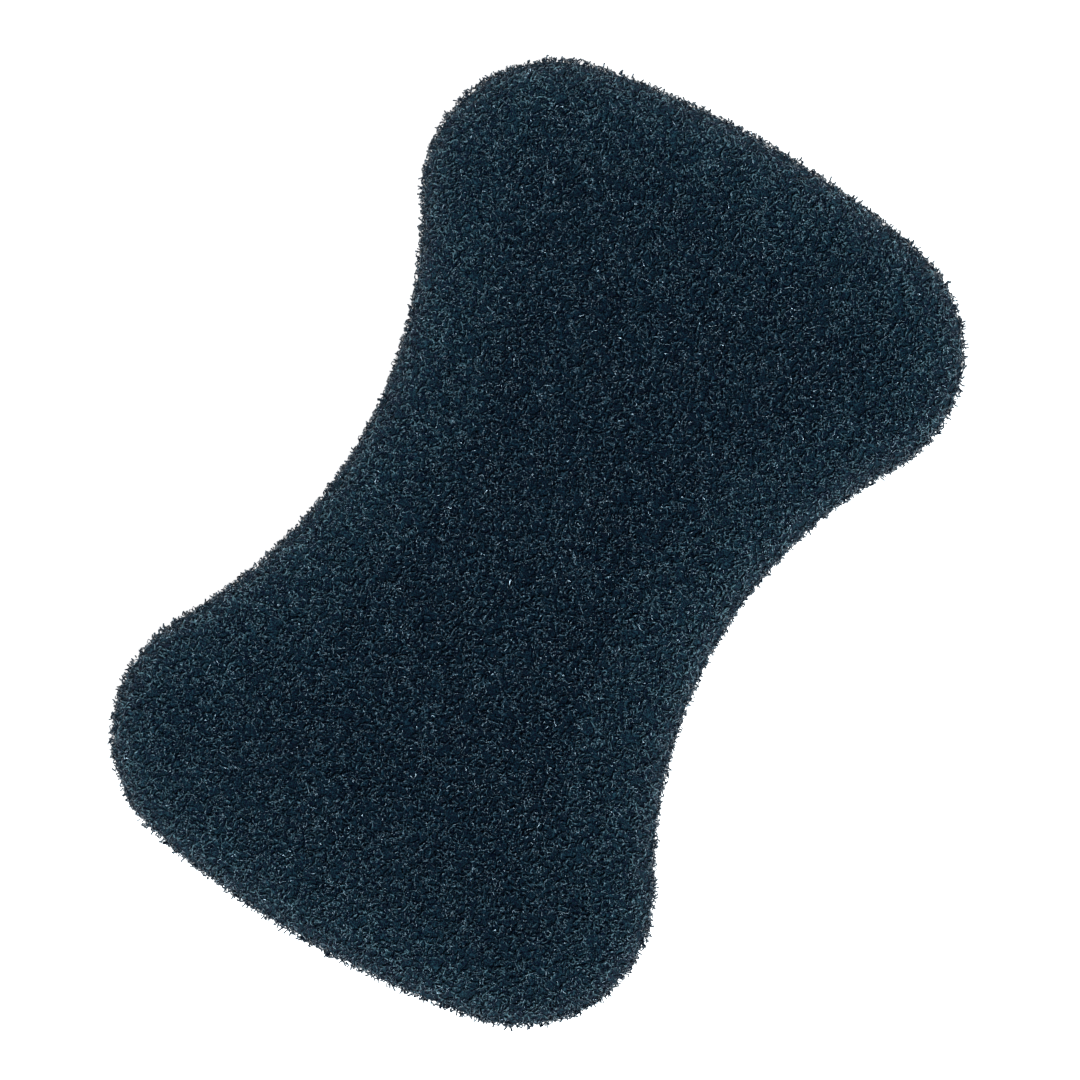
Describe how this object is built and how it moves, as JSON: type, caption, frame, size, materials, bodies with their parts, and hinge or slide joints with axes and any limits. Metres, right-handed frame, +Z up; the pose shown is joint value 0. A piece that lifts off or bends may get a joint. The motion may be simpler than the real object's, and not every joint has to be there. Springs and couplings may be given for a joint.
{
  "type": "nylon scouring pad",
  "caption": "Hourglass-shaped hand scouring pad of thick non-woven nylon web, with a rough open surface and a narrower waist to hold it by.",
  "frame": {"origin": "centre of the underside, where the pad rests", "axes": "+X along the pad's length, +Y across its width, +Z up through its thickness"},
  "size_m": [0.1525, 0.0971, 0.0092],
  "materials": {
    "nylon_web": "matte matted nylon fibres with sparse glints, near-black blue-grey"
  },
  "bodies": {
    "root": {"scouring_pad": "nylon_web"}
  },
  "joints": []
}
